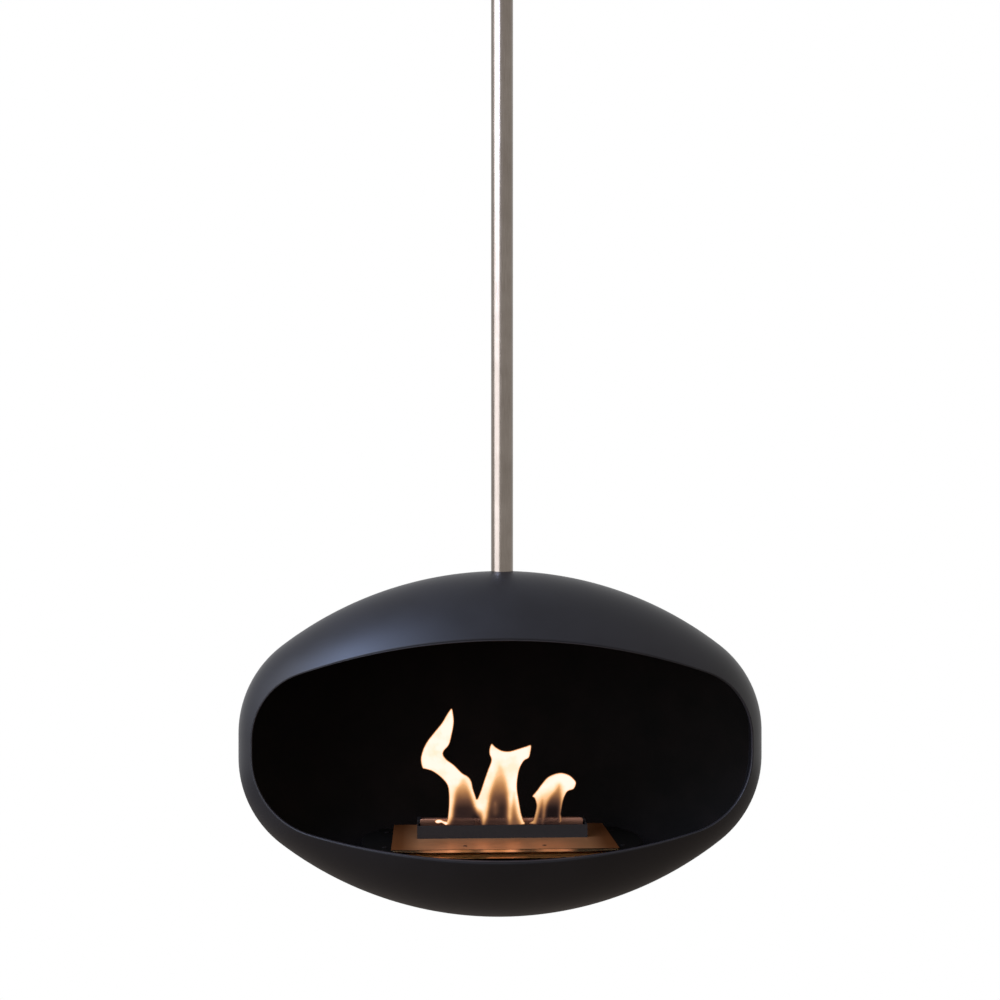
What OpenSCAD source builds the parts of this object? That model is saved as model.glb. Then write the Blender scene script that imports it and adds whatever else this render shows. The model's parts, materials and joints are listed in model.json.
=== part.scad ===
// Hanging ethanol fireplace: a shallow pressed-steel pod with a wide mouth, hung from the
// ceiling on one tube that swivels in a thrust bearing. A lift-out burner stands in the pod.
// Millimetres. The origin is the middle of the ceiling plate's top face. -Y is the front.

/* [Hanging] */
// Drop from the ceiling to the top of the pod
drop = 1090; // [900:10:2400]
// Outer diameter of the pole
pole_d = 38.1; // [33:0.1:48]
// Wall of the pole
pole_wall = 2; // [1.5:0.1:3]

/* [Pod] */
// Width of the pod, side to side
pod_w = 900; // [860:5:960]
// Height of the pod
pod_h = 593; // [570:1:620]
// Depth of the pod, front to back
pod_d = 385; // [370:5:420]
// Radius of the long arc over the top and under the bottom
crown_r = 620; // [600:5:660]
// Height of the straight band at each side
side_band = 42; // [30:2:60]
// Thickness of the pressed steel
shell_t = 3; // [2:0.5:4]

/* [Mouth] */
// Width of the mouth, seen from the front
mouth_w = 845; // [780:5:850]
// Height of the mouth's upper edge over the middle of the pod
mouth_rise = 185; // [160:1:200]
// Depth of the mouth's lower edge under the middle of the pod
mouth_fall = 176; // [172:1:180]
// Radius of the upper edge's long arc
mouth_upper_r = 1020; // [900:10:1200]
// Radius of the lower edge's long arc
mouth_lower_r = 1400; // [1100:10:1500]
// Depth of the rim folded back along the mouth's edge
rim_depth = 8; // [6:1:10]
// Thickness of the rim
rim_t = 2.5; // [2:0.5:3]

/* [Burner] */
// Width of the steel tray
tray_w = 376; // [360:2:390]
// Depth of the flat part of the tray
tray_d = 238; // [230:2:240]
// Height of the tray's top face under the middle of the pod
tray_level = 160.6; // [159:0.1:163]
// Thickness of the tray
tray_t = 2; // [1.5:0.5:2.5]
// Width of the burner box
box_w = 292; // [280:2:300]
// Front to back size of the burner box
box_d = 72; // [70:1:78]
// Distance from the pod's middle plane forward to the front of the box
box_front = 20; // [16:1:24]
// Height of the box over the tray
box_rise = 22; // [18:1:26]
// Depth of the box's floor under the tray
box_sink = 64; // [50:1:70]
// Travel of the damper from open to shut
damper_travel = 26; // [20:1:26]

/* [Ceiling fitting] */
// Diameter of the ceiling plate
plate_d = 160; // [156:2:180]
// Circle of the four ceiling bolts
bolt_circle = 138; // [136:1:140]
// Diameter of a ceiling bolt's hole
bolt_hole = 9; // [8:0.5:10]
// Outer diameter of the bearing housing
housing_d = 84; // [80:1:88]
// Number of balls in the thrust bearing
ball_count = 16; // [12:1:18]

/* [Fasteners] */
// Number of bolts round the seam
seam_bolt_count = 14; // [8:2:18]
// Radial gap of a running fit
running = 0.1; // [0.05:0.01:0.1]

/* [Hidden] */
$fn = 64;

// Pod, measured from its own middle
pod_a = pod_w / 2;
pod_c = pod_h / 2;
pod_b = pod_d / 2;
band = side_band / 2;
pod_z = -drop - pod_c;
mouth_a = mouth_w / 2;
mouth_band = 12;
cols = 80;
front_rows = 6;
rear_rows = 8;

// Pole and what it carries, heights over the pod's middle
pole_r = pole_d / 2;
flange_t = 8;
flange_r = 72;
flange_top = pod_c - 34;
flange_bottom = flange_top - flange_t;
post_x = 45;
post_y = 38;
post_r = 9;
doubler_t = 5;
doubler_inset = shell_t + 1.5;
doubler_w = 150;
doubler_d = 120;
m8_r = 4;
shield_top = 224;
shield_t = 1.5;
shield_w = 420;
shield_d = 190;
shield_lip = 12;
spacer_at = 28;
spacer_r = 6;
m5_r = 2.5;

// Seam
flange_w = 16;
seam_t = 2.5;
seam_gap = 160;
seam_inset = shell_t + 0.8;
seam_clear = 20;
bolt_inset = shell_t + 9;

// Hearth
hearth_top = -166;
hearth_t = 2;
hearth_w = 480;
hearth_d = 242;
hearth_corner = 100;
apron_slope = 30;
hearth_apron = 22;
apron_half = 165;
apron_side = 7;
apron_foot = 108;
tray_apron = 11.5;
rail_x = 200;
rail_w = 30;
rail_t = 5;
rail_screw_y = 70;
weld_gap = 0.8;
hearth_gap = 10;
low_head_r = 4.5;
low_head_h = 1.5;

// Burner
slot_d = damper_travel + 4;
tray_top = -tray_level;
tray_under = tray_top - tray_t;
box_top = tray_top + box_rise;
box_bottom = tray_top - box_sink;
box_y = box_d / 2 - box_front;
box_wall = 2;
cover_front = slot_d - box_front + box_wall + 2;
foot_x = 66;
foot_front = -60;
foot_rear = 90;
foot_r = 8;
damper_front = slot_d - box_front - 1;
damper_lip = 7;
damper_t = 2;
damper_w = box_w - 2 * box_wall - 6;
damper_float = 0.15;
damper_corner = 4;
guide_gap = 0.5;
guide_cover = 2.5;
guide_t = 1;
guide_bore_h = damper_t + 0.4;
flange_out = 6;
box_flange_t = 1.4;
tank_gap = 4;
tank_h = 50;
tank_wall = 1.5;
pad_h = 46;
tray_screw_r = 3.5;
tray_dome_r = 5.3;
tray_dome_drop = 4;

// Ceiling fitting, heights under the ceiling
plate_t = 8;
housing_flange_t = 6;
housing_flange_d = 116;
housing_bolt_circle = 100;
housing_bore_r = 36;
lip_t = 6;
lip_level = 52;
lip_r = pole_r + 2.45;
race_t = 4;
race_in = 25;
race_out = 35;
ball_r = 4;
ball_ring = 30;
collar_top = 18;
collar_r = 33;
m6_r = 3;
pin_r = 4;
canopy_wall = 1.5;
canopy_h = 66;
canopy_r = plate_d / 2 + 0.2 + canopy_wall;
canopy_screws_at = 30;
canopy_screw_l = 10.5;
bolts_at = 45;
m4_r = 2;
clearance = 0.3;
collar_level = -lip_level + 2 * race_t + 2 * ball_r + running;
pin_level = (collar_level - collar_top) / 2;

STEEL = "#8f8b86";
BLACK = "#26262a";
ZINC = "#a9a9a6";
COPPER = "#a98466";

// ---- Outlines and surfaces ----

// Radius of the arc that joins an oval's crown to its straight side
function corner_r(a, c, r, s) = (r*r - a*a - pow(s - c + r, 2)) / (2 * (r - a));

// How far a ray from the middle runs to a circle round (cx, cz)
function ray_arc(ux, uz, cx, cz, r) =
    let (b = ux*cx + uz*cz) b + sqrt(max(0, b*b - cx*cx - cz*cz + r*r));

// How far an oval reaches at angle t: crown arc r, corner arc, straight side from -s to s
function reach(t, a, c, r, s) =
    let (ux = abs(cos(t)), uz = abs(sin(t)),
         k = corner_r(a, c, r, s), kx = a - k,
         g = r / norm([kx, s - c + r]), ex = kx*g, ez = c - r + (s - c + r)*g)
    uz*ex >= ez*ux ? ray_arc(ux, uz, 0, c - r, r)
    : uz*a <= s*ux ? a / ux
    : ray_arc(ux, uz, kx, s, k);

// The pod's outline, drawn in by a distance
function pod_reach(t, inset = 0) = reach(t, pod_a - inset, pod_c - inset, crown_r - inset, band);

// The mouth's outline, seen from the front
function mouth_reach(t) = sin(t) >= 0
    ? reach(t, mouth_a, mouth_rise, mouth_upper_r, mouth_band)
    : reach(t, mouth_a, mouth_fall, mouth_lower_r, mouth_band);

// A point on the pod's skin: t goes round the outline, u from the seam at 0 to the middle at 90
function skin(t, u, inset = 0) =
    let (r = pod_reach(t, inset) * cos(u))
    [r * cos(t), -(pod_b - inset) * sin(u), r * sin(t)];

// Where the mouth's edge lies on the skin
function mouth_u(t, inset = 0) = acos(mouth_reach(t) / pod_reach(t, inset));

// Height of the skin over a point near the top of the pod
function roof(x, y, inset) =
    let (k = sqrt(1 - pow(y / (pod_b - inset), 2)))
    k * (pod_c - crown_r) + sqrt(pow(k * (crown_r - inset), 2) - x*x);

function angle(i) = 360 * i / cols;

// Two triangles for each cell of a grid of points that closes on itself both ways
function ring_faces(n, k) = [for (i = [0:n-1], j = [0:k-1])
    let (p = i*k + j, q = ((i + 1) % n)*k + j,
         p2 = i*k + (j + 1) % k, q2 = ((i + 1) % n)*k + (j + 1) % k)
    each [[p, p2, q], [q, p2, q2]]];

module ring_mesh(rows) {
    k = len(rows[0]);
    polyhedron([for (r = rows, p = r) p], ring_faces(len(rows), k), convexity = 8);
}

module oval(inset) {
    polygon([for (i = [0:cols-1]) let (r = pod_reach(angle(i), inset)) r * [cos(angle(i)), sin(angle(i))]]);
}

module rounded(w, d, r) {
    square([w - 2*r, d], center = true);
    square([w, d - 2*r], center = true);
    for (x = [-1, 1], y = [-1, 1]) translate([x * (w/2 - r), y * (d/2 - r)]) circle(r);
}

module ring(outer, inner, h) {
    difference() {
        cylinder(r = outer, h = h);
        translate([0, 0, -1]) cylinder(r = inner, h = h + 2);
    }
}

// Hexagon head or nut, measured across its flats
module hex(flats, h) {
    cylinder(d = flats / cos(30), h = h, $fn = 6);
}

module at_pod() {
    translate([0, 0, pod_z]) children();
}

module four(x, y) {
    for (i = [-1, 1], j = [-1, 1]) translate([i * x, j * y, 0]) children();
}

module round_circle(n, r, first = 0) {
    for (i = [0:n-1]) rotate(first + 360 * i / n) translate([r, 0, 0]) children();
}

// ---- Ceiling fitting, fixed ----

module ceiling_plate() color(ZINC) difference() {
    translate([0, 0, -plate_t]) cylinder(d = plate_d, h = plate_t, $fn = 96);
    translate([0, 0, -plate_t - 1]) {
        round_circle(4, bolt_circle / 2, bolts_at) cylinder(d = bolt_hole, h = plate_t + 2);
        round_circle(4, housing_bolt_circle / 2) cylinder(r = m6_r, h = plate_t - 1);
    }
    translate([0, 0, -plate_t / 2]) round_circle(3, plate_d / 2 - canopy_screw_l, canopy_screws_at)
        rotate([0, 90, 0]) cylinder(r = m4_r, h = canopy_screw_l + 1);
}

module bearing_housing() color(ZINC) difference() {
    union() {
        translate([0, 0, -plate_t - housing_flange_t]) cylinder(d = housing_flange_d, h = housing_flange_t);
        translate([0, 0, -lip_level - lip_t]) cylinder(d = housing_d, h = lip_level + lip_t - plate_t - 1);
    }
    translate([0, 0, -lip_level]) cylinder(r = housing_bore_r, h = lip_level);
    translate([0, 0, -lip_level - lip_t - 1]) cylinder(r = lip_r, h = lip_t + 2);
    translate([0, 0, -plate_t - housing_flange_t - 1])
        round_circle(4, housing_bolt_circle / 2) cylinder(r = m6_r + clearance, h = housing_flange_t + 2);
}

module housing_screws() color(STEEL)
    round_circle(4, housing_bolt_circle / 2) translate([0, 0, -plate_t - housing_flange_t]) {
        cylinder(r = m6_r, h = housing_flange_t + plate_t - 2);
        translate([0, 0, -4]) hex(10, 4);
    }

// Plastic bush in the housing's lip that keeps the pole upright
module guide_bush() color("#d8d4c8") {
    translate([0, 0, -lip_level - lip_t - 2]) ring(lip_r, pole_r + running, lip_t + 2);
    translate([0, 0, -lip_level]) ring(race_in - 1, pole_r + running, 1.5);
}

module lower_race() color(STEEL)
    translate([0, 0, -lip_level]) ring(race_out, race_in, race_t);

module ball_cage() color("#b9a253") translate([0, 0, -lip_level + race_t + ball_r]) {
    translate([0, 0, -1.5]) ring(race_out - 0.5, race_in + 0.5, 3);
    round_circle(ball_count, ball_ring) sphere(r = ball_r, $fn = 32);
}

// Round cover over the fitting
module canopy() color(STEEL) difference() {
    translate([0, 0, -canopy_h]) cylinder(r = canopy_r, h = canopy_h, $fn = 96);
    translate([0, 0, -canopy_h + canopy_wall]) cylinder(r = canopy_r - canopy_wall, h = canopy_h, $fn = 96);
    translate([0, 0, -canopy_h - 1]) cylinder(r = pole_r + 1.5, h = canopy_wall + 2);
    translate([0, 0, -plate_t / 2]) round_circle(3, canopy_r - 2 * canopy_wall, canopy_screws_at)
        rotate([0, 90, 0]) cylinder(r = m4_r + running, h = 4 * canopy_wall);
}

module canopy_screws() color(STEEL)
    translate([0, 0, -plate_t / 2]) round_circle(3, canopy_r, canopy_screws_at) rotate([0, 90, 0]) {
        translate([0, 0, -canopy_screw_l + 0.5]) cylinder(r = m4_r, h = canopy_screw_l);
        cylinder(r = 3.5, h = 2);
    }

// ---- Pole and its head, which turn ----

module upper_race() color(STEEL)
    translate([0, 0, -lip_level + race_t + 2 * ball_r + running]) ring(race_out, race_in, race_t);

// Rests on the upper race and holds the pole by a cross pin
module pole_collar() color(ZINC) difference() {
    translate([0, 0, collar_level]) ring(collar_r, pole_r, -collar_top - collar_level);
    translate([0, 0, pin_level]) rotate([0, 90, 0]) cylinder(r = pin_r, h = 2 * collar_r + 2, center = true);
}

module collar_pin() color(STEEL)
    translate([0, 0, pin_level]) rotate([0, 90, 0]) cylinder(r = pin_r, h = 2 * collar_r, center = true);

module pole() color(STEEL) {
    top = 2 - collar_top;
    bottom = pod_z + flange_bottom;
    difference() {
        translate([0, 0, bottom]) ring(pole_r, pole_r - pole_wall, top - bottom);
        translate([0, 0, pin_level]) rotate([0, 90, 0]) cylinder(r = pin_r, h = pole_d + 2, center = true);
    }
}

// Disc welded round the foot of the pole, inside the pod
module pole_flange() color(ZINC) at_pod() translate([0, 0, flange_bottom]) difference() {
    cylinder(r = flange_r, h = flange_t);
    translate([0, 0, -1]) {
        cylinder(r = pole_r, h = flange_t + 2);
        four(post_x, post_y) cylinder(r = m8_r + 0.5, h = flange_t + 2);
        four(spacer_at, spacer_at) cylinder(r = m5_r, h = flange_t);
    }
}

module flange_bolts() color(STEEL) at_pod() four(post_x, post_y) translate([0, 0, flange_bottom]) {
    cylinder(r = m8_r, h = flange_t + 13);
    translate([0, 0, -5.5]) hex(13, 5.5);
}

// ---- Pod ----

// Curved plate welded under the roof to spread the load
module doubler_plate() color(BLACK) at_pod() difference() {
    nx = 10;
    ny = 8;
    top = [for (i = [0:nx], j = [0:ny])
        let (x = doubler_w * (i/nx - 0.5), y = doubler_d * (j/ny - 0.5)) [x, y, roof(x, y, doubler_inset)]];
    low = [for (p = top) p - [0, 0, doubler_t]];
    m = len(top);
    k = ny + 1;
    polyhedron(concat(top, low), concat(
        [for (i = [0:nx-1], j = [0:ny-1]) let (p = i*k + j) each
            [[p, p + 1, p + k], [p + k, p + 1, p + k + 1],
             [p + m, p + k + m, p + 1 + m], [p + k + m, p + k + 1 + m, p + 1 + m]]],
        [for (i = [0:nx-1]) let (p = i*k) each
            [[p, p + k, p + m], [p + k, p + k + m, p + m],
             [p + ny, p + ny + m, p + k + ny], [p + k + ny, p + ny + m, p + k + ny + m]]],
        [for (j = [0:ny-1]) let (q = nx*k + j) each
            [[j, j + m, j + 1], [j + 1, j + m, j + 1 + m],
             [q, q + 1, q + m], [q + 1, q + 1 + m, q + m]]]), convexity = 4);
    cylinder(r = pole_r + 0.5, h = pod_h);
}

// Four tapped posts under the doubler that the pole's flange bolts to
module mount_posts() color(ZINC) at_pod() four(post_x, post_y) translate([0, 0, flange_top]) difference() {
    cylinder(r = post_r, h = roof(post_x + post_r, post_y + post_r, doubler_inset) - doubler_t - flange_top);
    translate([0, 0, -1]) cylinder(r = m8_r, h = 14);
}

module pole_notch() {
    cylinder(r = pole_r + 0.5, h = pod_h);
}

module front_shell() color(BLACK) at_pod() difference() {
    ring_mesh([for (i = [0:cols-1]) let (t = angle(i), uo = mouth_u(t), ui = mouth_u(t, shell_t))
        concat([for (j = [0:front_rows]) skin(t, uo * j / front_rows)],
               [for (j = [front_rows:-1:0]) skin(t, ui * j / front_rows, shell_t)])]);
    pole_notch();
}

module rear_shell() color(BLACK) at_pod() mirror([0, 1, 0]) difference() {
    m = rear_rows;
    k = 2 * m;
    n = cols;
    points = [for (i = [0:n-1]) each concat(
        [for (j = [0:m-1]) skin(angle(i), 90 * j / m)],
        [for (j = [0:m-1]) skin(angle(i), 90 * j / m, shell_t)])];
    outer_tip = n * k;
    inner_tip = n * k + 1;
    polyhedron(concat(points, [[0, -pod_b, 0], [0, shell_t - pod_b, 0]]), [
        for (i = [0:n-1]) let (p = i*k, q = ((i + 1) % n) * k) each concat(
            [for (j = [0:m-2]) each [[p+j, p+j+1, q+j], [q+j, p+j+1, q+j+1]]],
            [for (j = [m:2*m-2]) each [[p+j, q+j, p+j+1], [q+j, q+j+1, p+j+1]]],
            [[p, q, p+m], [q, q+m, p+m],
             [p+m-1, outer_tip, q+m-1], [p+2*m-1, q+2*m-1, inner_tip]])], convexity = 4);
    pole_notch();
}

// Strip folded back into the pod along the mouth's edge, with a rounded front
module mouth_rim() color(BLACK) at_pod()
    ring_mesh([for (i = [0:cols-1])
        let (t = angle(i), r = mouth_reach(t), out = [cos(t), 0, sin(t)],
             y = skin(t, mouth_u(t))[1], back = y + rim_depth, h = rim_t / 2)
        [for (p = [[0, back], [0, y + 1], [-h * 0.3, y + 0.3], [-h, y], [-h * 1.7, y + 0.3],
                   [-rim_t, y + 1], [-rim_t, back]])
            (r + p[0]) * out + [0, p[1], 0]]]);

module seam_flange() {
    rotate([90, 0, 0]) linear_extrude(seam_t) difference() {
        oval(seam_inset);
        oval(seam_inset + flange_w);
        translate([-seam_gap / 2, 0]) square([seam_gap, pod_h]);
        for (p = seam_places()) translate(p) circle(m5_r + 0.2);
    }
}

// Bolt centres, by angle, leaving the pole's place free
function seam_places() = [for (i = [0:seam_bolt_count-1])
    let (t = 90 + seam_clear + (360 - 2*seam_clear) * i / (seam_bolt_count - 1), r = pod_reach(t, bolt_inset))
    r * [cos(t), sin(t)]];

module front_seam_flange() color(BLACK) at_pod() seam_flange();
module rear_seam_flange() color(BLACK) at_pod() translate([0, seam_t, 0]) seam_flange();

module seam_bolts() color(ZINC) at_pod() for (p = seam_places())
    translate([p[0], -seam_t, p[1]]) rotate([-90, 0, 0]) {
        cylinder(r = m5_r, h = 2 * seam_t + 6);
        translate([0, 0, -3.5]) hex(8, 3.5);
    }

module seam_nuts() color(ZINC) at_pod() for (p = seam_places())
    translate([p[0], seam_t, p[1]]) rotate([-90, 0, 0]) difference() {
        hex(8, 4);
        translate([0, 0, -1]) cylinder(r = m5_r, h = 6);
    }

// Pan hung under the pole's flange to keep the heat off the roof
module heat_shield() color(BLACK) at_pod() translate([0, 0, shield_top - shield_lip]) difference() {
    linear_extrude(shield_lip) rounded(shield_w, shield_d, 50);
    translate([0, 0, -1]) linear_extrude(shield_lip - shield_t + 1)
        rounded(shield_w - 2 * shield_t, shield_d - 2 * shield_t, 50 - shield_t);
    four(spacer_at, spacer_at) cylinder(r = m5_r + 0.2, h = shield_lip + 1);
}

module shield_spacers() color(ZINC) at_pod() four(spacer_at, spacer_at)
    translate([0, 0, shield_top]) ring(spacer_r, m5_r + 0.2, flange_bottom - shield_top);

module shield_screws() color(ZINC) at_pod() four(spacer_at, spacer_at)
    translate([0, 0, shield_top - shield_t]) {
        cylinder(r = m5_r, h = flange_bottom - shield_top + shield_t + 6);
        translate([0, 0, -m5_r]) cylinder(r = low_head_r, h = m5_r);
    }

// Flat bars from front to back that carry the hearth
module hearth_rails() color(BLACK) at_pod() for (x = [-rail_x, rail_x])
    translate([x, 0, hearth_top - hearth_t - rail_t]) difference() {
        span = 2 * (rail_reach() - weld_gap);
        translate([-rail_w / 2, -span / 2, 0]) cube([rail_w, span, rail_t]);
        for (y = [-rail_screw_y, rail_screw_y]) translate([0, y, -1]) cylinder(r = m5_r, h = rail_t + 2);
    }

// Half the length of a rail: where its outer lower edge meets the shell
function rail_reach() =
    let (x = rail_x + rail_w / 2, z = hearth_top - hearth_t - rail_t)
    (pod_b - shell_t) * sqrt(1 - pow(norm([x, z]) / pod_reach(atan2(z, x), shell_t), 2));

// Black floor plate with a sloping front apron
module hearth_plate() color(BLACK) at_pod() translate([0, 0, hearth_top - hearth_t]) difference() {
    union() {
        linear_extrude(hearth_t) rounded(hearth_w, hearth_d, hearth_corner);
        translate([0, -hearth_d / 2, hearth_t]) rotate([apron_slope, 0, 0]) translate([0, 0, -hearth_t])
            linear_extrude(hearth_t)
                polygon([[-apron_half, 0], [-apron_half, -apron_side], [-apron_foot, -hearth_apron],
                         [apron_foot, -hearth_apron], [apron_half, -apron_side], [apron_half, 0]]);
    }
    translate([0, box_y, -1]) linear_extrude(hearth_t + 2)
        square([box_w + 2 * hearth_gap, box_d + 2 * hearth_gap], center = true);
    translate([0, 0, -1]) four(rail_x, rail_screw_y) cylinder(r = m5_r + clearance, h = hearth_t + 2);
}

module hearth_screws() color(BLACK) at_pod() four(rail_x, rail_screw_y)
    translate([0, 0, hearth_top - hearth_t - rail_t]) {
        cylinder(r = m5_r, h = rail_t + hearth_t);
        translate([0, 0, rail_t + hearth_t]) cylinder(r = low_head_r, h = low_head_h);
    }

// ---- Burner, which lifts out ----

module burner_tray() color(COPPER) at_pod() translate([0, 0, tray_under]) difference() {
    union() {
        linear_extrude(tray_t) square([tray_w, tray_d], center = true);
        translate([0, -tray_d / 2, tray_t]) rotate([apron_slope, 0, 0])
            translate([-tray_w / 2, -tray_apron, -tray_t]) cube([tray_w, tray_apron, tray_t]);
    }
    translate([0, box_y, -1]) linear_extrude(tray_t + 2) square([box_w, box_d], center = true);
    feet_places() translate([0, 0, -1]) cylinder(r = m4_r + 0.1, h = tray_t + 2);
}

module feet_places() {
    for (x = [-foot_x, foot_x], y = [foot_front, foot_rear]) translate([x, y, 0]) children();
}

module tray_feet() color("#303030") at_pod() feet_places() translate([0, 0, hearth_top])
    ring(foot_r, m4_r, tray_under - hearth_top);

module tray_screws() color("#5c4a3c") at_pod() feet_places() {
    translate([0, 0, hearth_top + 0.5]) cylinder(r = m4_r, h = tray_top - hearth_top - 0.5);
    translate([0, 0, tray_top]) intersection() {
        translate([0, 0, -tray_dome_drop]) sphere(r = tray_dome_r);
        cylinder(r = tray_screw_r, h = 2);
    }
}

// Outer box of the burner, with an open slot in front of its fixed cover
module burner_box() color(BLACK) at_pod() {
    half = box_w / 2;
    difference() {
        union() {
            translate([-half, -box_front, box_bottom]) cube([box_w, box_d, box_top - box_bottom]);
            translate([-half - flange_out, -box_front - flange_out, tray_under - box_flange_t])
                cube([box_w + 2 * flange_out, box_d + 2 * flange_out, box_flange_t]);
        }
        translate([box_wall - half, box_wall - box_front, box_bottom + box_wall])
            cube([box_w - 2 * box_wall, box_d - 2 * box_wall, box_top - box_bottom - 2 * box_wall]);
        translate([box_wall - half, box_wall - box_front, box_top - 2 * box_wall])
            cube([box_w - 2 * box_wall, cover_front + box_front - box_wall, 3 * box_wall]);
    }
}

module fuel_tank() color(ZINC) at_pod() {
    w = box_w - 2 * (box_wall + tank_gap);
    d = box_d - 2 * (box_wall + tank_gap);
    translate([-w / 2, box_wall - box_front + tank_gap, box_bottom + box_wall]) difference() {
        cube([w, d, tank_h]);
        translate([tank_wall, tank_wall, tank_wall]) cube([w - 2 * tank_wall, d - 2 * tank_wall, tank_h]);
    }
}

// Ceramic fibre that holds the fuel like a wick
module fibre_pad() color("#e8e4da") at_pod() {
    inset = box_wall + tank_gap + tank_wall;
    w = box_w - 2 * inset;
    translate([-w / 2, inset - box_front, box_bottom + box_wall + tank_wall])
        cube([w, box_d - 2 * inset, pad_h]);
}

// Two folded strips on the cover that keep the damper down and straight
module damper_guides() color(BLACK) at_pod() for (side = [-1, 1]) {
    length = box_d - box_front - cover_front;
    x = side > 0 ? damper_w / 2 + guide_gap : -box_w / 2;
    w = box_w / 2 - damper_w / 2 - guide_gap;
    translate([x, cover_front, box_top]) cube([w, length, guide_bore_h + guide_t]);
    translate([side > 0 ? x - guide_cover : x, cover_front, box_top + guide_bore_h])
        cube([w + guide_cover, length, guide_t]);
}

// Lid that slides forward over the slot to put the flame out, with an upright front edge
module damper() color(COPPER) at_pod() {
    rear = box_d - box_front - 2;
    translate([-damper_w / 2, damper_front, box_top + damper_float])
        cube([damper_w, rear - damper_front, damper_t]);
    translate([0, damper_front + damper_t, box_top]) rotate([90, 0, 0])
        linear_extrude(damper_t) rounded(damper_w, 2 * damper_lip, damper_corner);
}

ceiling_plate();
bearing_housing();
housing_screws();
guide_bush();
lower_race();
ball_cage();
canopy();
canopy_screws();
upper_race();
pole_collar();
collar_pin();
pole();
pole_flange();
flange_bolts();
doubler_plate();
mount_posts();
front_shell();
rear_shell();
mouth_rim();
front_seam_flange();
rear_seam_flange();
seam_bolts();
seam_nuts();
heat_shield();
shield_spacers();
shield_screws();
hearth_rails();
hearth_plate();
hearth_screws();
burner_tray();
tray_feet();
tray_screws();
burner_box();
fuel_tank();
fibre_pad();
damper_guides();
damper();
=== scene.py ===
import bpy
import bmesh
import json
import math
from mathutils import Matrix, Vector, kdtree
from mathutils.geometry import delaunay_2d_cdt


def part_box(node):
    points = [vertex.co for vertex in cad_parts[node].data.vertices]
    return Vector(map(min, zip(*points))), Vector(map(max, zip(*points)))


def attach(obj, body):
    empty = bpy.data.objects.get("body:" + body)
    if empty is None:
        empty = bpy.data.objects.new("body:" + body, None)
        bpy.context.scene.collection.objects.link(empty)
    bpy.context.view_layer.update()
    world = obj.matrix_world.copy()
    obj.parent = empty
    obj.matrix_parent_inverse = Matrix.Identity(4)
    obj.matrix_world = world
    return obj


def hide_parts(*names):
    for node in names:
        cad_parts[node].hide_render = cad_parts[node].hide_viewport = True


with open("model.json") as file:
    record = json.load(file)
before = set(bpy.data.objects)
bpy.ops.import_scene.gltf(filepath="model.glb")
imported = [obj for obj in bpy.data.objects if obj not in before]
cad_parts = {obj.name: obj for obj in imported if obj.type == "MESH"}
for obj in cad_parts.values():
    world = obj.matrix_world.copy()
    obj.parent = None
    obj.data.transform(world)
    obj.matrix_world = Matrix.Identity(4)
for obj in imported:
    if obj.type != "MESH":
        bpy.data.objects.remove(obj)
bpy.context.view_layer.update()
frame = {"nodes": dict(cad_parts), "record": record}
mm = 0.001  # Blender works in metres

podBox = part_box("rear_shell")
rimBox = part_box("mouth_rim")
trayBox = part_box("burner_tray")
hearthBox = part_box("hearth_plate")
podMiddle = (podBox[0].z + podBox[1].z) / 2
podCentre = Vector((0, 0, podMiddle))
slotOf = {part["node"]: part["material_slot"] for part in frame["record"]["subparts"]}
bodyOf = {node: body for body, nodes in frame["record"]["behaviour"]["bodies"].items() for node in nodes}
print("frame loaded,", len(frame["nodes"]), "pieces")


def linear(code):  # "#rrggbb" as the eye reads it, turned to the linear values that shaders use
    parts = [int(code[i:i + 2], 16) / 255 for i in (1, 3, 5)]
    return [p / 12.92 if p <= 0.04045 else ((p + 0.055) / 1.055) ** 2.4 for p in parts] + [1]


def addNode(tree, kind, *inputs, named=None, stops=None, **settings):
    # inputs and named hold sockets, nodes or plain values; stops are a ramp's places and colours
    node = tree.nodes.new(kind)
    for key, value in settings.items():
        setattr(node, key, value)
    if stops:
        ends = node.color_ramp.elements
        ends.remove(ends[1])
        ends[0].position, ends[0].color = stops[0]
        for position, colour in stops[1:]:
            ends.new(position).color = colour
    pairs = list(zip(node.inputs, inputs))
    pairs += [(node.inputs[key], value) for key, value in (named or {}).items()]
    for socket, value in pairs:
        if isinstance(value, bpy.types.Node):
            value = value.outputs[0]
        if isinstance(value, bpy.types.NodeSocket):
            tree.links.new(value, socket)
        else:
            socket.default_value = value
    return node


def newMaterial(name):  # with the object's own coordinates, in metres, that place its patterns
    material = bpy.data.materials.new(name)
    material.use_nodes = True
    tree = material.node_tree
    tree.nodes.clear()
    return material, tree, addNode(tree, "ShaderNodeTexCoord").outputs["Object"]


def newObject(name, data):
    thing = bpy.data.objects.new(name, data)
    bpy.context.scene.collection.objects.link(thing)
    return thing


def plainMesh(source, name):  # the evaluated shape as an ordinary mesh, without its modifiers
    bpy.context.view_layer.update()
    evaluated = source.evaluated_get(bpy.context.evaluated_depsgraph_get())
    mesh = bpy.data.meshes.new_from_object(evaluated)
    mesh.name = name
    bpy.data.objects.remove(source)
    return newObject(name, mesh)


def keepMesh(name, made, finish):  # a bmesh kept as an object of one finish
    data = bpy.data.meshes.new(name)
    made.to_mesh(data)
    made.free()
    data.materials.append(finish)
    return newObject(name, data)


def roundEdges(piece, width, segments, degrees):  # a fine bevel on every edge sharper than the angle
    edge = piece.modifiers.new("edge", "BEVEL")
    edge.width = width
    edge.segments = segments
    edge.limit_method = "ANGLE"
    edge.angle_limit = math.radians(degrees)
    return edge


def standFor(piece, node):  # the piece takes the node's place on its body, and the node is hidden
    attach(piece, bodyOf[node])
    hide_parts(node)


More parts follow.
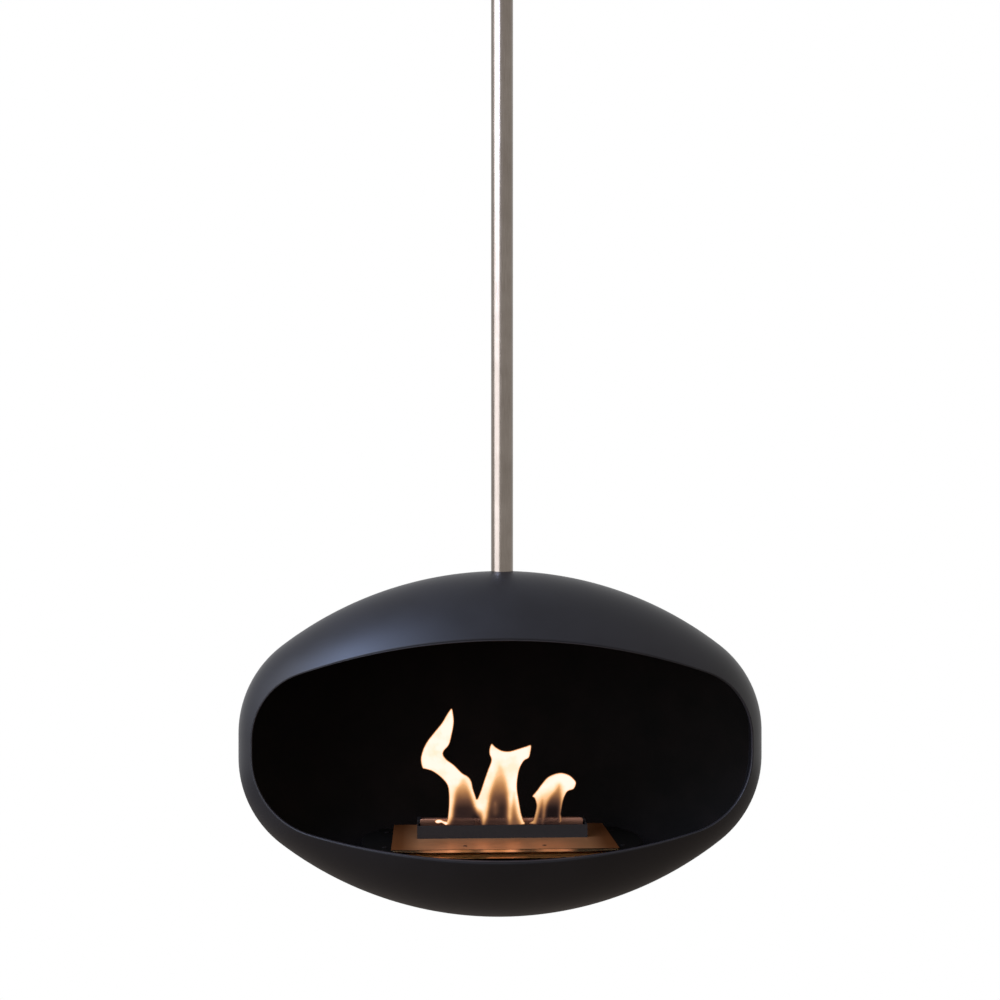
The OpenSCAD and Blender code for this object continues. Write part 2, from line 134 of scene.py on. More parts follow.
def isInside(point, line):  # a ray from a point inside a closed line crosses it an odd number of times
    inside = False
    for p, q in zip(line, line[1:] + line[:1]):
        if (p[1] > point[1]) != (q[1] > point[1]):
            if point[0] < (q[0] - p[0]) * (point[1] - p[1]) / (q[1] - p[1]) + p[0]:
                inside = not inside
    return inside


# Finishes. Most of a noise's values lie between 0.3 and 0.7, so ramps and ranges start and end near there.
# A Mix node's colours go in at 6 and 7 and come out at 2.

def acrossBrush(tree):  # the piece's own Y direction: lines brushed along X spread a highlight that way
    along = addNode(tree, "ShaderNodeCombineXYZ", 0.0, 1.0, 0.0)
    return addNode(tree, "ShaderNodeVectorTransform", along, vector_type="VECTOR",
                   convert_from="OBJECT", convert_to="WORLD")


def forwardFacePaintedShade(tree):  # a mask of where the surface faces forward, as the cut edge of a sheet does; the lips paint it dark as shade
    forward = -0.6  # the normal's Y
    normal = addNode(tree, "ShaderNodeTexCoord").outputs["Normal"]
    ahead = addNode(tree, "ShaderNodeSeparateXYZ", normal).outputs["Y"]
    return addNode(tree, "ShaderNodeMath", ahead, forward, operation="LESS_THAN")


def powderCoat(name, pale, dark, specular):
    # satin polyester powder on pressed steel: a broad soft sheen, and a very fine orange peel
    coat = {"roughness": 0.43, "uneven": 0.03, "cloud": 90 * mm,
            "peel": 1.6 * mm, "peelShare": 0.06, "peelDepth": 0.1 * mm}
    material, tree, place = newMaterial(name)
    cloud = addNode(tree, "ShaderNodeTexNoise", named={
        "Vector": place, "Scale": 1 / coat["cloud"], "Detail": 3})
    rough = addNode(tree, "ShaderNodeMapRange", cloud, 0.3, 0.7,
                    coat["roughness"] - coat["uneven"], coat["roughness"] + coat["uneven"])
    tint = addNode(tree, "ShaderNodeValToRGB", cloud, stops=[(0.3, linear(dark)), (0.7, linear(pale))])
    peel = addNode(tree, "ShaderNodeTexNoise", named={
        "Vector": place, "Scale": 1 / coat["peel"], "Detail": 2})
    bump = addNode(tree, "ShaderNodeBump", named={
        "Height": peel, "Strength": coat["peelShare"], "Distance": coat["peelDepth"]})
    shader = addNode(tree, "ShaderNodeBsdfPrincipled", named={
        "Base Color": tint, "Roughness": rough, "Normal": bump, "Specular IOR Level": specular})
    addNode(tree, "ShaderNodeOutputMaterial", shader)
    return material


def stovePaint():  # matt heatproof paint inside the pod, a little brown from the flames
    paint = {"pale": "#100d0c", "dark": "#0a0908", "roughness": 0.85, "specular": 0.06, "soot": 60 * mm,
             "grain": 0.8 * mm, "grainShare": 0.1, "grainDepth": 0.1 * mm}
    material, tree, place = newMaterial("mattStovePaint")
    soot = addNode(tree, "ShaderNodeTexNoise", named={
        "Vector": place, "Scale": 1 / paint["soot"], "Detail": 4})
    tint = addNode(tree, "ShaderNodeValToRGB", soot, stops=[
        (0.35, linear(paint["dark"])), (0.7, linear(paint["pale"]))])
    grain = addNode(tree, "ShaderNodeTexNoise", named={
        "Vector": place, "Scale": 1 / paint["grain"], "Detail": 2})
    bump = addNode(tree, "ShaderNodeBump", named={
        "Height": grain, "Strength": paint["grainShare"], "Distance": paint["grainDepth"]})
    shader = addNode(tree, "ShaderNodeBsdfPrincipled", named={
        "Base Color": tint, "Roughness": paint["roughness"], "Normal": bump,
        "Specular IOR Level": paint["specular"]})
    addNode(tree, "ShaderNodeOutputMaterial", shader)
    return material


def hearthEnamel():
    # black heatproof enamel; its sloping front lip is bare polished steel that mirrors the flames, tinted
    # orange as painted flame glow, and its faces that look forward are painted dark as shade
    enamel = {"pale": "#0a0908", "dark": "#070605", "roughness": 0.4, "specular": 0.03, "wave": 14 * mm}
    # the lip's dark colour on faces that look forward is painted shade, and its polished colour is partly
    # painted flame glow
    lip = {"start": -121.2 * mm, "steel": "#cf965c", "soot": "#241509", "roughness": 0.24}
    material, tree, place = newMaterial("blackEnamelWithPolishedLip")
    wave = addNode(tree, "ShaderNodeTexNoise", named={
        "Vector": place, "Scale": 1 / enamel["wave"], "Detail": 2})
    paint = addNode(tree, "ShaderNodeValToRGB", wave, stops=[
        (0.3, linear(enamel["dark"])), (0.7, linear(enamel["pale"]))])
    along = addNode(tree, "ShaderNodeSeparateXYZ", place).outputs["Y"]
    bare = addNode(tree, "ShaderNodeMath", along, lip["start"], operation="LESS_THAN")
    tint = addNode(tree, "ShaderNodeMix", data_type="RGBA", named={
        0: bare, 6: paint, 7: linear(lip["steel"])}).outputs[2]
    tint = addNode(tree, "ShaderNodeMix", data_type="RGBA", named={
        0: forwardFacePaintedShade(tree), 6: tint, 7: linear(lip["soot"])}).outputs[2]
    rough = addNode(tree, "ShaderNodeMapRange", bare, 0.0, 1.0, enamel["roughness"], lip["roughness"])
    shader = addNode(tree, "ShaderNodeBsdfPrincipled", named={
        "Base Color": tint, "Roughness": rough, "Metallic": bare,
        "Specular IOR Level": enamel["specular"], "Anisotropic": 1.0, "Tangent": acrossBrush(tree)})
    addNode(tree, "ShaderNodeOutputMaterial", shader)
    return material


def burnerPaint():  # satin heatproof paint on the burner's box, blue grey where light grazes it
    paint = {"pale": "#191716", "dark": "#121010", "roughness": 0.5, "specular": 0.12,
             "grain": 1.2 * mm, "grainShare": 0.08, "grainDepth": 0.1 * mm}
    material, tree, place = newMaterial("satinBurnerPaint")
    grain = addNode(tree, "ShaderNodeTexNoise", named={
        "Vector": place, "Scale": 1 / paint["grain"], "Detail": 3})
    tint = addNode(tree, "ShaderNodeValToRGB", grain, stops=[
        (0.3, linear(paint["dark"])), (0.7, linear(paint["pale"]))])
    bump = addNode(tree, "ShaderNodeBump", named={
        "Height": grain, "Strength": paint["grainShare"], "Distance": paint["grainDepth"]})
    shader = addNode(tree, "ShaderNodeBsdfPrincipled", named={
        "Base Color": tint, "Roughness": paint["roughness"], "Normal": bump,
        "Specular IOR Level": paint["specular"]})
    addNode(tree, "ShaderNodeOutputMaterial", shader)
    return material


def brushedSteel(name, pale, dark, roughness, stretch, anisotropy=0.0, flat=False, lip=None):
    # steel rubbed one way with grit: fine lines along the stretched axis that blur highlights across them
    brush = {"line": 0.35 * mm, "cloud": 40 * mm, "lineShare": 0.7, "uneven": 0.05,
             "bumpShare": 0.06, "bumpDepth": 0.05 * mm}
    material, tree, place = newMaterial(name)
    drawn = addNode(tree, "ShaderNodeMapping", place, named={"Scale": stretch})
    lines = addNode(tree, "ShaderNodeTexNoise", named={
        "Vector": drawn, "Scale": 1 / brush["line"], "Detail": 4})
    cloud = addNode(tree, "ShaderNodeTexNoise", named={
        "Vector": place, "Scale": 1 / brush["cloud"], "Detail": 2})
    blend = addNode(tree, "ShaderNodeMath", lines, brush["lineShare"], operation="MULTIPLY")
    both = addNode(tree, "ShaderNodeMath", cloud, 1 - brush["lineShare"], blend, operation="MULTIPLY_ADD")
    tint = addNode(tree, "ShaderNodeValToRGB", both, stops=[(0.35, linear(dark)), (0.65, linear(pale))])
    rough = addNode(tree, "ShaderNodeMapRange", lines, 0.3, 0.7,
                    roughness - brush["uneven"], roughness + brush["uneven"])
    height = lines
    if lip:  # darker towards its ends as painted shade, a painted shadow line along the fold, and past that line the sheet is polished
        split = addNode(tree, "ShaderNodeSeparateXYZ", place).outputs
        out = addNode(tree, "ShaderNodeMath", split["X"], operation="ABSOLUTE")
        out = addNode(tree, "ShaderNodeMapRange", out, lip["paintedEndShadeFrom"], lip["paintedEndShadeTo"], 0.0, 1.0)
        past = addNode(tree, "ShaderNodeMath", split["Y"], lip["fold"], operation="LESS_THAN")
        clean = lip["fold"] - lip["line"]
        polish = addNode(tree, "ShaderNodeMath", split["Y"], clean, operation="LESS_THAN")
        for share, code in ((out, lip["paintedEndShade"]), (past, lip["soot"]), (polish, lip["steel"]),
                            (forwardFacePaintedShade(tree), lip["soot"])):
            tint = addNode(tree, "ShaderNodeMix", data_type="RGBA", named={
                0: share, 6: tint, 7: linear(code)}).outputs[2]
        rough = addNode(tree, "ShaderNodeMapRange", polish, 0.0, 1.0, rough, lip["roughness"])
        height = addNode(tree, "ShaderNodeMath", 1.0, past, operation="SUBTRACT")
        height = addNode(tree, "ShaderNodeMath", height, lines, operation="MULTIPLY")
    bump = addNode(tree, "ShaderNodeBump", named={
        "Height": height, "Strength": brush["bumpShare"], "Distance": brush["bumpDepth"]})
    if flat:
        spread = acrossBrush(tree)
    else:
        spread = addNode(tree, "ShaderNodeTangent", direction_type="RADIAL", axis="Z")
    shader = addNode(tree, "ShaderNodeBsdfPrincipled", named={
        "Base Color": tint, "Metallic": 1.0, "Roughness": rough, "Normal": bump,
        "Anisotropic": anisotropy, "Tangent": spread})
    addNode(tree, "ShaderNodeOutputMaterial", shader)
    return material


def grainy(name, pale, dark, roughness, grain, specular=0.5, metallic=0.0, bumpDepth=0.1 * mm):
    # moulded, cast or felted stock: one noise at the size of its grain
    bumpShare = 0.3
    material, tree, place = newMaterial(name)
    noise = addNode(tree, "ShaderNodeTexNoise", named={
        "Vector": place, "Scale": 1 / grain, "Detail": 4})
    tint = addNode(tree, "ShaderNodeValToRGB", noise, stops=[(0.3, linear(dark)), (0.7, linear(pale))])
    bump = addNode(tree, "ShaderNodeBump", named={
        "Height": noise, "Strength": bumpShare, "Distance": bumpDepth})
    shader = addNode(tree, "ShaderNodeBsdfPrincipled", named={
        "Base Color": tint, "Roughness": roughness, "Normal": bump, "Metallic": metallic,
        "Specular IOR Level": specular})
    addNode(tree, "ShaderNodeOutputMaterial", shader)
    return material


def fireLight():
    # burning ethanol: cream where it is deep, orange at its edge, a thin brown veil between the stems
    fire = {"strength": 1.8, "mottle": 24 * mm, "dimmest": 0.92, "brightest": 1.04}
    # how strongly it burns, colour as it shows, how far its red passes white, cover
    stops = [(0.0, "#1a1216", 1.0, 0.0), (0.1, "#3a2a28", 1.0, 0.3), (0.25, "#75503c", 1.0, 0.6),
             (0.45, "#bd8454", 1.0, 0.85), (0.65, "#e9b47a", 1.05, 1.0), (0.8, "#fdd9a6", 1.3, 1.0),
             (0.9, "#fff0cd", 1.6, 1.0), (1.0, "#fffdec", 1.8, 1.0)]
    glow, covers = [], []
    for position, code, redness, cover in stops:
        red, green, blue = (part / fire["strength"] for part in linear(code)[:3])
        glow.append((position, (red * redness, green, blue, 1)))
        covers.append((position, (cover, cover, cover, 1)))
    material, tree, place = newMaterial("ethanolFlame")
    clouds = addNode(tree, "ShaderNodeTexNoise", named={
        "Vector": place, "Scale": 1 / fire["mottle"], "Detail": 3})
    mottle = addNode(tree, "ShaderNodeMapRange", clouds, 0.35, 0.65, fire["dimmest"], fire["brightest"])
    burning = addNode(tree, "ShaderNodeAttribute", attribute_name="burning").outputs["Fac"]
    burning = addNode(tree, "ShaderNodeMath", burning, mottle, operation="MULTIPLY")
    colour = addNode(tree, "ShaderNodeValToRGB", burning, stops=glow)
    shown = addNode(tree, "ShaderNodeValToRGB", burning, stops=covers)
    shader = addNode(tree, "ShaderNodeBsdfPrincipled", named={
        "Base Color": (0, 0, 0, 1), "Roughness": 1.0, "Specular IOR Level": 0.0,
        "Emission Color": colour, "Emission Strength": fire["strength"], "Alpha": shown})
    addNode(tree, "ShaderNodeOutputMaterial", shader)
    return material


alongZ = (1, 1, 0.012)  # the pattern is stretched along the brushing
alongX = (0.012, 1, 1)
# On the tray's lip the dark colour at the fold is a painted shadow line and on its forward edge painted shade,
# the darker colour towards its ends is painted shade, and the polished colour is partly painted flame glow
trayLip = {
    "fold": -118.4 * mm, "line": 2.2 * mm, "soot": "#3a2212", "steel": "#d0ac7c", "roughness": 0.27,
    "paintedEndShade": "#85502c", "paintedEndShadeFrom": 142 * mm, "paintedEndShadeTo": 172 * mm}
coatFinish = powderCoat("satinBlackPowderCoat", "#171618", "#131214", 0.17)
rimFinish = powderCoat("rimPowderCoat", "#211e20", "#1c1a1c", 0.24)
insideFinish = stovePaint()
slotFinish = {
    # drawn tube brushed along its length: one long narrow gleam
    "brushed_stainless": brushedSteel(
        "brushedStainlessTube", "#7f766e", "#6c635b", 0.22, alongZ, anisotropy=0.3),
    "black_coat": coatFinish,
    "hearth_black": hearthEnamel(),
    "burner_black": burnerPaint(),
    # sheet brushed from side to side, browned by heat and coloured copper as painted flame glow: a wide soft
    # gleam
    "satin_steel": brushedSteel(
        "satinSteelHeatTintAndPaintedFlameGlow", "#ce9465", "#b27a4e", 0.44, alongX, anisotropy=0.5, flat=True, lip=trayLip),
    # oil blackened: dull and brown
    "dark_screw": grainy("blackenedScrewSteel", "#4a3226", "#2c1d16", 0.4, 0.8 * mm, metallic=0.8),
    # zinc plated: pale grey and slightly cloudy
    "zinc_steel": grainy("zincPlatedSteel", "#b4b4b0", "#94948f", 0.42, 6 * mm, metallic=1.0),
    # ground: bright and even, with very fine lines
    "bearing_steel": brushedSteel("groundBearingSteel", "#c2c2c0", "#a6a6a4", 0.22, (1, 1, 0.2)),
    # turned brass: bright yellow
    "brass_cage": grainy(
        "turnedBrass", "#c9a961", "#a8873f", 0.3, 3 * mm, metallic=1.0, bumpDepth=0.02 * mm),
    # machined acetal: smooth ivory
    "plastic_bush": grainy("naturalAcetal", "#e2ddcf", "#d6d0c0", 0.45, 2 * mm),
    # moulded silicone: dull black
    "silicone_foot": grainy("blackSilicone", "#2b2b2b", "#202020", 0.75, 1 * mm, specular=0.3),
    # pressed ceramic fibre: white, rough, without gloss
    "ceramic_fibre": grainy(
        "ceramicFibreFelt", "#eeebe2", "#cfcabb", 0.95, 1.5 * mm, specular=0.1, bumpDepth=0.6 * mm)}
flameFinish = fireLight()
nodeFinish = {
    # the damper stands in the fire: browner than the tray
    "damper": brushedSteel(
        "damperSteelBrownedByHeat", "#986e5a", "#80594a", 0.42, alongX, anisotropy=0.4, flat=True),
    # screw heads under soot: almost without gloss
    "hearth_screws": grainy("sootedScrewHeads", "#110e0c", "#0a0808", 0.8, 1 * mm, specular=0.05)}

for nodeName, thing in frame["nodes"].items():
    thing.data.materials.clear()
    thing.data.materials.append(nodeFinish.get(nodeName, slotFinish[slotOf[nodeName]]))
print("finishes made,", len(slotFinish) + len(nodeFinish))


# The pod's shells and the rim of its mouth, by Geometry Nodes.

pod = {
    "halfWidth": podBox[1].x, "halfHeight": (podBox[1].z - podBox[0].z) / 2, "halfDepth": podBox[1].y,
    "crownRadius": 620 * mm, "sideBand": 21 * mm, "wall": 3 * mm, "seamGap": 0.5 * mm,
    "columns": 320, "rows": 56}
mouth = {
    "halfWidth": rimBox[1].x, "rise": rimBox[1].z - podMiddle, "fall": podMiddle - rimBox[0].z,
    "upperRadius": 1020 * mm, "lowerRadius": 1400 * mm, "sideBand": 12 * mm,
    "rimThick": 2.5 * mm, "rimDepth": 8 * mm, "rimRows": 24}


def ovalSizes(halfWidth, halfHeight, crownRadius, band):  # a long arc, a corner arc and a straight side
    drop = band - halfHeight + crownRadius
    corner = (crownRadius ** 2 - halfWidth ** 2 - drop ** 2) / (2 * (crownRadius - halfWidth))
    across = halfWidth - corner
    grow = crownRadius / math.hypot(across, drop)
    return {
        "Half Width": halfWidth, "Crown Radius": crownRadius, "Crown Centre": halfHeight - crownRadius,
        "Corner Radius": corner, "Corner X": across, "Corner Z": band,
        "Crown Slope": (halfHeight - crownRadius + drop * grow) / (across * grow),
        "Side Slope": band / halfWidth}


ovals = {
    "Pod": ovalSizes(pod["halfWidth"], pod["halfHeight"], pod["crownRadius"], pod["sideBand"]),
    "Upper": ovalSizes(mouth["halfWidth"], mouth["rise"], mouth["upperRadius"], mouth["sideBand"]),
    "Lower": ovalSizes(mouth["halfWidth"], mouth["fall"], mouth["lowerRadius"], mouth["sideBand"])}


def addSockets(tree, names, kind="NodeSocketFloat", way="INPUT"):
    for name in names:
        tree.interface.new_socket(name, in_out=way, socket_type=kind)


def growMesh(name, mesh, tree, values):  # runs a tree on a mesh, with its inputs set by their names
    holder = newObject(name, mesh)
    modifier = holder.modifiers.new("nodes", "NODES")
    modifier.node_group = tree
    for item in tree.interface.items_tree:
        if item.in_out == "INPUT" and item.name in values:
            modifier[item.identifier] = values[item.name]
    return plainMesh(holder, name)


def ovalReach():  # how far an oval reaches from its middle along a ray (Across, Up)
    tree = bpy.data.node_groups.new("ovalReach", "GeometryNodeTree")
    addSockets(tree, ["Across", "Up"] + list(ovals["Pod"]))
    addSockets(tree, ["Reach"], way="OUTPUT")
    given = addNode(tree, "NodeGroupInput").outputs

    def rayToArc(x, z, radius):
        along = addNode(tree, "ShaderNodeMath", given["Across"], x, operation="MULTIPLY")
        along = addNode(tree, "ShaderNodeMath", given["Up"], z, along, operation="MULTIPLY_ADD")
        square = addNode(tree, "ShaderNodeMath", along, along, operation="MULTIPLY")
        square = addNode(tree, "ShaderNodeMath", radius, radius, square, operation="MULTIPLY_ADD")
        away = addNode(tree, "ShaderNodeMath", x, x, operation="MULTIPLY")
        away = addNode(tree, "ShaderNodeMath", z, z, away, operation="MULTIPLY_ADD")
        left = addNode(tree, "ShaderNodeMath", square, away, operation="SUBTRACT")
        root = addNode(tree, "ShaderNodeMath", left, operation="SQRT")
        return addNode(tree, "ShaderNodeMath", along, root, operation="ADD")

    crown = rayToArc(0.0, given["Crown Centre"], given["Crown Radius"])
    corner = rayToArc(given["Corner X"], given["Corner Z"], given["Corner Radius"])
    side = addNode(tree, "ShaderNodeMath", given["Half Width"], given["Across"], operation="DIVIDE")
    slope = addNode(tree, "ShaderNodeMath", given["Up"], given["Across"], operation="DIVIDE")
    onSide = addNode(tree, "ShaderNodeMath", slope, given["Side Slope"], operation="LESS_THAN")
    onCrown = addNode(tree, "ShaderNodeMath", slope, given["Crown Slope"], operation="GREATER_THAN")
    low = addNode(tree, "GeometryNodeSwitch", onSide, corner, side, input_type="FLOAT")
    reach = addNode(tree, "GeometryNodeSwitch", onCrown, low, crown, input_type="FLOAT")
    addNode(tree, "NodeGroupOutput", reach)
    return tree


reachGroup = ovalReach()


def podTree(name):
    # a grid wrapped round the pod: U runs round the outline, V from the seam to the end or round the rim
    tree = bpy.data.node_groups.new(name, "GeometryNodeTree")
    addSockets(tree, ["Geometry"], "NodeSocketGeometry")
    addSockets(tree, ["Columns", "Rows"], "NodeSocketInt")
    addSockets(tree, ["Half Depth", "Side", "Middle Z", "Rim Thick", "Rim Depth"])
    addSockets(tree, [f"{oval} {size}" for oval in ovals for size in ovals[oval]])
    addSockets(tree, ["Finish"], "NodeSocketMaterial")
    addSockets(tree, ["Geometry"], "NodeSocketGeometry", "OUTPUT")
    given = addNode(tree, "NodeGroupInput").outputs
    grid = addNode(tree, "GeometryNodeMeshGrid", 1.0, 1.0, given["Columns"], given["Rows"])
    uv = addNode(tree, "ShaderNodeSeparateXYZ", grid.outputs["UV Map"]).outputs
    angle = addNode(tree, "ShaderNodeMath", uv["X"], math.tau, operation="MULTIPLY")
    cosine = addNode(tree, "ShaderNodeMath", angle, operation="COSINE")
    sine = addNode(tree, "ShaderNodeMath", angle, operation="SINE")
    across = addNode(tree, "ShaderNodeMath", cosine, operation="ABSOLUTE")
    across = addNode(tree, "ShaderNodeMath", across, 1e-6, operation="MAXIMUM")  # never divides by zero
    up = addNode(tree, "ShaderNodeMath", sine, operation="ABSOLUTE")
    reach = {}
    for oval in ovals:
        sizes = {size: given[f"{oval} {size}"] for size in ovals[oval]}
        reach[oval] = addNode(tree, "GeometryNodeGroup", node_tree=reachGroup,
                              named={"Across": across, "Up": up, **sizes})
    above = addNode(tree, "ShaderNodeMath", sine, 0.0, operation="GREATER_THAN")
    mouthReach = addNode(
        tree, "GeometryNodeSwitch", above, reach["Lower"], reach["Upper"], input_type="FLOAT")
    ratio = addNode(tree, "ShaderNodeMath", mouthReach, reach["Pod"], operation="DIVIDE")
    edge = addNode(tree, "ShaderNodeMath", ratio, operation="ARCCOSINE")  # how far round the mouth lies
    wrap = {"given": given, "grid": grid, "along": uv["Y"], "cosine": cosine, "sine": sine, "edge": edge,
            "podReach": reach["Pod"], "mouthReach": mouthReach}
    return tree, wrap


def endTree(tree, wrap, radius, depth):  # puts the grid's points in place and dresses the surface
    given = wrap["given"]
    x = addNode(tree, "ShaderNodeMath", wrap["cosine"], radius, operation="MULTIPLY")
    z = addNode(tree, "ShaderNodeMath", wrap["sine"], radius, given["Middle Z"], operation="MULTIPLY_ADD")
    place = addNode(tree, "ShaderNodeCombineXYZ", x, depth, z)
    moved = addNode(tree, "GeometryNodeSetPosition", wrap["grid"], named={"Position": place})
    closed = addNode(tree, "GeometryNodeMergeByDistance", moved, named={"Distance": 0.01 * mm})
    smooth = addNode(tree, "GeometryNodeSetShadeSmooth", closed)
    real = addNode(tree, "GeometryNodeRealizeInstances", smooth)
    dressed = addNode(tree, "GeometryNodeSetMaterial", real, named={"Material": given["Finish"]})
    addNode(tree, "NodeGroupOutput", dressed)
    return tree


def skinTree():  # from the seam, the rear shell runs to the pod's back and the front shell to the mouth
    tree, wrap = podTree("podSkin")
    given = wrap["given"]
    front = addNode(tree, "ShaderNodeMath", given["Side"], 0.0, operation="LESS_THAN")
    last = addNode(tree, "GeometryNodeSwitch", front, math.pi / 2, wrap["edge"], input_type="FLOAT")
    turned = addNode(tree, "ShaderNodeMath", wrap["along"], last, operation="MULTIPLY")
    inward = addNode(tree, "ShaderNodeMath", turned, operation="COSINE")
    radius = addNode(tree, "ShaderNodeMath", wrap["podReach"], inward, operation="MULTIPLY")
    back = addNode(tree, "ShaderNodeMath", turned, operation="SINE")
    depth = addNode(tree, "ShaderNodeMath", back, given["Half Depth"], operation="MULTIPLY")
    depth = addNode(tree, "ShaderNodeMath", depth, given["Side"], operation="MULTIPLY")
    return endTree(tree, wrap, radius, depth)


def rimTree():  # a folded strip of metal, round on both edges, along the mouth
    tree, wrap = podTree("mouthRim")
    given, along = wrap["given"], wrap["along"]
    turn = addNode(tree, "ShaderNodeMath", along, math.tau, operation="MULTIPLY")
    half = addNode(tree, "ShaderNodeMath", given["Rim Thick"], 0.5, operation="MULTIPLY")
    swing = addNode(tree, "ShaderNodeMath", turn, operation="COSINE")
    swing = addNode(tree, "ShaderNodeMath", swing, 1.0, operation="SUBTRACT")
    radius = addNode(tree, "ShaderNodeMath", swing, half, wrap["mouthReach"], operation="MULTIPLY_ADD")
    lift = addNode(tree, "ShaderNodeMath", turn, operation="SINE")
    lift = addNode(tree, "ShaderNodeMath", 1.0, lift, operation="SUBTRACT")
    lift = addNode(tree, "ShaderNodeMath", lift, half, operation="MULTIPLY")
    far = addNode(tree, "ShaderNodeMath", given["Rim Depth"], given["Rim Thick"], operation="SUBTRACT")
    # the second half of the turn is the strip's back edge, moved off by the strip's depth
    past = addNode(tree, "ShaderNodeMath", along, 0.501, operation="GREATER_THAN")
    ended = addNode(tree, "ShaderNodeMath", along, 0.999, operation="LESS_THAN")
    onBack = addNode(tree, "ShaderNodeMath", past, ended, operation="MULTIPLY")
    depth = addNode(tree, "ShaderNodeMath", onBack, far, lift, operation="MULTIPLY_ADD")
    back = addNode(tree, "ShaderNodeMath", wrap["edge"], operation="SINE")
    back = addNode(tree, "ShaderNodeMath", back, given["Half Depth"], operation="MULTIPLY")
    depth = addNode(tree, "ShaderNodeMath", depth, back, operation="SUBTRACT")
    return endTree(tree, wrap, radius, depth)


def growPiece(name, tree, rows, side, finish):
    values = {
        "Columns": pod["columns"] + 1, "Rows": rows + 1, "Half Depth": pod["halfDepth"], "Middle Z": podMiddle,
        "Side": side, "Rim Thick": mouth["rimThick"], "Rim Depth": mouth["rimDepth"], "Finish": finish}
    for oval, sizes in ovals.items():
        values.update({f"{oval} {size}": value for size, value in sizes.items()})
    return growMesh(name, bpy.data.meshes.new(name), tree, values)


skinNodes = skinTree()
for name, node, side in (("podFrontShell", "front_shell", -1.0), ("podRearShell", "rear_shell", 1.0)):
    shell = growPiece(name, skinNodes, pod["rows"], side, coatFinish)
    face = shell.data.polygons[len(shell.data.polygons) // 3]
    if face.normal.dot(face.center - podCentre) < 0:  # its faces look at the pod's middle
        shell.data.flip_normals()
    for point in shell.data.vertices:
        if abs(point.co.y) < 0.001 * mm:
            point.co.y = side * pod["seamGap"] / 2
    shell.data.materials.append(insideFinish)
    wall = shell.modifiers.new("wall", "SOLIDIFY")
    wall.thickness = pod["wall"]
    wall.offset = -1
    wall.use_even_offset = True
    wall.material_offset = 1
    wall.material_offset_rim = 0
    standFor(plainMesh(shell, name), node)

rim = growPiece("mouthRim", rimTree(), mouth["rimRows"], -1.0, rimFinish)
rimNormals = bmesh.new()
rimNormals.from_mesh(rim.data)
bmesh.ops.recalc_face_normals(rimNormals, faces=rimNormals.faces)
rimNormals.to_mesh(rim.data)
rimNormals.free()
standFor(rim, "mouth_rim")
print("pod grown")


# The burner's tray and the hearth, folded from sheet. A lip's points are how far across from the middle
# and how far past the fold, in mm; a hole is given by two opposite corners, also in mm.

tray = {
    "halfWidth": trayBox[1].x, "front": -trayBox[1].y, "back": trayBox[1].y, "top": trayBox[1].z,
    "foldHalf": trayBox[1].x, "lip": [(182, 6), (125, 11)], "hole": [(-146, -20), (146, 52)],
    "thick": 1.5 * mm, "edge": 0.25 * mm}
hearth = {
    "halfWidth": hearthBox[1].x, "front": -hearthBox[1].y, "back": hearthBox[1].y, "top": hearthBox[1].z,
    "foldHalf": 165 * mm, "lip": [(165, 7), (108, 17.5), (60, 20.5)], "hole": [(-156, -30), (156, 62)],
    "thick": 1.5 * mm, "edge": 0.25 * mm, "corner": 100 * mm, "cornerSteps": 16}
lipSlope = math.tan(math.radians(14))


def foldSheet(name, sizes, outline, finish):  # a flat sheet with a square hole, bent down along its front
    (x0, y0), (x1, y1) = ([part * mm for part in corner] for corner in sizes["hole"])
    hole = [(x0, y0), (x1, y0), (x1, y1), (x0, y1)]
    fold = [(-sizes["foldHalf"], sizes["front"]), (sizes["foldHalf"], sizes["front"])]
    points, edges = [], []
    for line in (outline, hole, fold):
        first = len(points)
        points += [Vector(p) for p in line]
        edges += [(first + i, first + i + 1) for i in range(len(line) - 1)]
        if line is not fold:
            edges.append((first + len(line) - 1, first))
    verts, edges, faces = delaunay_2d_cdt(points, edges, [], 1, 1e-7)[:3]
    mesh = bmesh.new()
    made = []
    for spot in verts:
        drop = max(0, sizes["front"] - spot.y) * lipSlope
        made.append(mesh.verts.new((spot.x, spot.y, sizes["top"] - drop)))
    for face in faces:
        middle = sum((verts[i] for i in face), Vector((0, 0))) / len(face)
        if isInside(middle, outline) and not isInside(middle, hole):
            mesh.faces.new([made[i] for i in face])
    bmesh.ops.delete(mesh, geom=[v for v in mesh.verts if not v.link_faces], context="VERTS")
    bmesh.ops.recalc_face_normals(mesh, faces=mesh.faces)
    if sum(f.normal.z * f.calc_area() for f in mesh.faces) < 0:
        bmesh.ops.reverse_faces(mesh, faces=mesh.faces)
    bmesh.ops.dissolve_limit(mesh, angle_limit=math.radians(1), verts=mesh.verts, edges=mesh.edges)
    sheet = keepMesh(name, mesh, finish)
    wall = sheet.modifiers.new("wall", "SOLIDIFY")
    wall.thickness = sizes["thick"]
    wall.offset = -1
    roundEdges(sheet, sizes["edge"], segments=2, degrees=40)
    return plainMesh(sheet, name)


def lipOf(sizes, side):  # a sheet's front lip on one side, from its end to where it runs straight across
    return [(side * x * mm, sizes["front"] - reach * mm) for x, reach in sizes["lip"]]


trayLine = [(-tray["halfWidth"], tray["back"]), (-tray["halfWidth"], tray["front"])] + lipOf(tray, -1)
trayLine += lipOf(tray, 1)[::-1] + [(tray["halfWidth"], tray["front"]), (tray["halfWidth"], tray["back"])]
standFor(foldSheet("burnerTray", tray, trayLine, slotFinish["satin_steel"]), "burner_tray")

